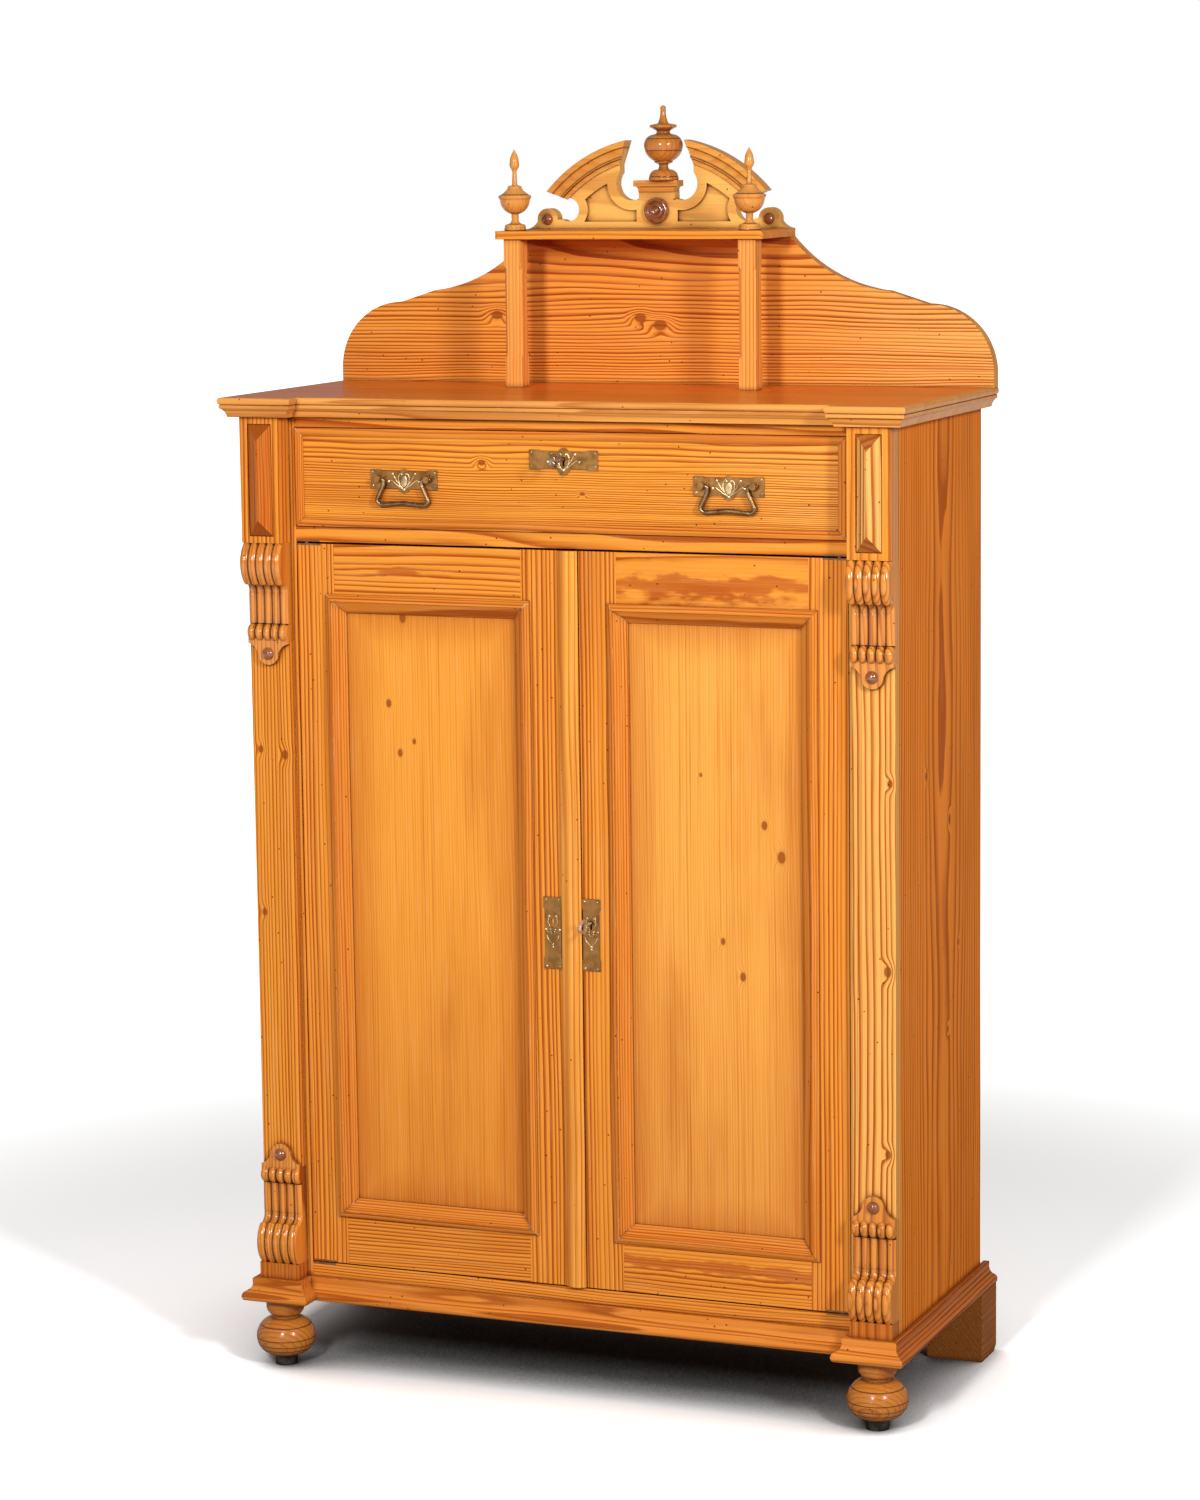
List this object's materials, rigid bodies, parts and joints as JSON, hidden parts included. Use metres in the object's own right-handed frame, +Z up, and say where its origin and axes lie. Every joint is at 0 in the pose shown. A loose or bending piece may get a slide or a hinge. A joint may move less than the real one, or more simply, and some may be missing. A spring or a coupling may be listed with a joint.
{
  "type": "storage cabinet",
  "caption": "Free-standing pine cabinet: panelled doors under a long drawer, carved pilasters, moulded worktop, and a gallery with shelf and broken-arch crest.",
  "frame": {"origin": "middle of the bounding box's footprint, on the floor", "axes": "+Z up; the doors and drawer face -Y; +X is to the right seen from the front"},
  "size_m": [1.054, 0.472, 1.879],
  "materials": {
    "pine": "waxed straight-grained pine, honey to orange",
    "pine_panel": "waxed pine, lighter honey panels",
    "pine_carved": "waxed carved softwood",
    "pine_turned": "waxed turned softwood, mid brown",
    "stained_boss": "dark brown stained turnings, glossy",
    "pine_raw": "unfinished inner pine",
    "old_brass": "aged pressed brass",
    "iron": "dark iron",
    "nickel_key": "dull nickelled key"
  },
  "bodies": {
    "cabinet": {"carcass_sides": "pine", "front_stiles": "pine", "plinth_rail": "pine_raw", "bottom_board": "pine", "drawer_rail": "pine", "frieze_rail": "pine", "hinge_plates": "iron", "back_boards": "pine_raw", "drawer_runners": "pine_raw", "inner_shelves": "pine_raw", "shelf_cleats": "pine_raw", "pilaster_shafts": "pine", "base_blocks": "pine", "frieze_blocks": "pine", "block_lozenges": "pine", "lower_corbels": "pine_carved", "upper_corbels": "pine_carved", "plinth_sides": "pine", "plinth_front": "pine", "bun_feet": "pine_turned", "foot_glides": "iron", "rear_feet": "pine", "worktop_moulding": "pine", "worktop": "pine", "gallery_back": "pine", "gallery_shelf": "pine", "gallery_posts": "pine", "gallery_finials": "pine_turned", "crest_board": "pine_carved", "crest_arches": "pine_carved", "crest_cap": "pine_carved", "crest_urn": "pine_turned", "turned_bosses": "stained_boss"},
    "drawer": {"drawer_front": "pine", "drawer_beading": "pine", "drawer_sides": "pine_raw", "drawer_back": "pine_raw", "drawer_bottom": "pine_raw", "pull_plates": "old_brass", "drawer_escutcheon": "old_brass", "drawer_lock": "iron"},
    "bail_left": {"bail_left": "old_brass"},
    "bail_right": {"bail_right": "old_brass"},
    "drawer_key": {"drawer_key": "iron"},
    "door_left": {"door_left_stiles": "pine", "door_left_rails": "pine", "door_left_panel": "pine_panel", "door_left_moulding": "pine", "door_left_pivots": "iron", "door_left_escutcheon": "old_brass", "door_astragal": "pine"},
    "door_right": {"door_right_stiles": "pine", "door_right_rails": "pine", "door_right_panel": "pine_panel", "door_right_moulding": "pine", "door_right_pivots": "iron", "door_right_escutcheon": "old_brass", "door_lock": "iron"},
    "door_key": {"door_key": "nickel_key"}
  },
  "joints": [
    {"name": "drawer_slide", "type": "slide", "parent": "cabinet", "child": "drawer", "axis": [0, -1, 0], "range_m": [0, 0.28]},
    {"name": "door_left_hinge", "type": "hinge", "parent": "cabinet", "child": "door_left", "pos_m": [-0.4128, -0.176, 0.7], "axis": [0, 0, -1], "range_deg": [0, 95]},
    {"name": "door_right_hinge", "type": "hinge", "parent": "cabinet", "child": "door_right", "pos_m": [0.4128, -0.176, 0.7], "axis": [0, 0, 1], "range_deg": [0, 95]},
    {"name": "bail_left_swing", "type": "hinge", "parent": "drawer", "child": "bail_left", "pos_m": [-0.251, -0.1882, 1.346], "axis": [-1, 0, 0], "range_deg": [0, 90]},
    {"name": "bail_right_swing", "type": "hinge", "parent": "drawer", "child": "bail_right", "pos_m": [0.251, -0.1882, 1.346], "axis": [-1, 0, 0], "range_deg": [0, 90]},
    {"name": "drawer_key_turn", "type": "hinge", "parent": "drawer", "child": "drawer_key", "pos_m": [0, -0.18, 1.379], "axis": [0, 1, 0], "range_deg": [0, 180]},
    {"name": "door_key_turn", "type": "hinge", "parent": "door_right", "child": "door_key", "pos_m": [0.03305, -0.18, 0.707], "axis": [0, 1, 0], "range_deg": [0, 180]}
  ]
}
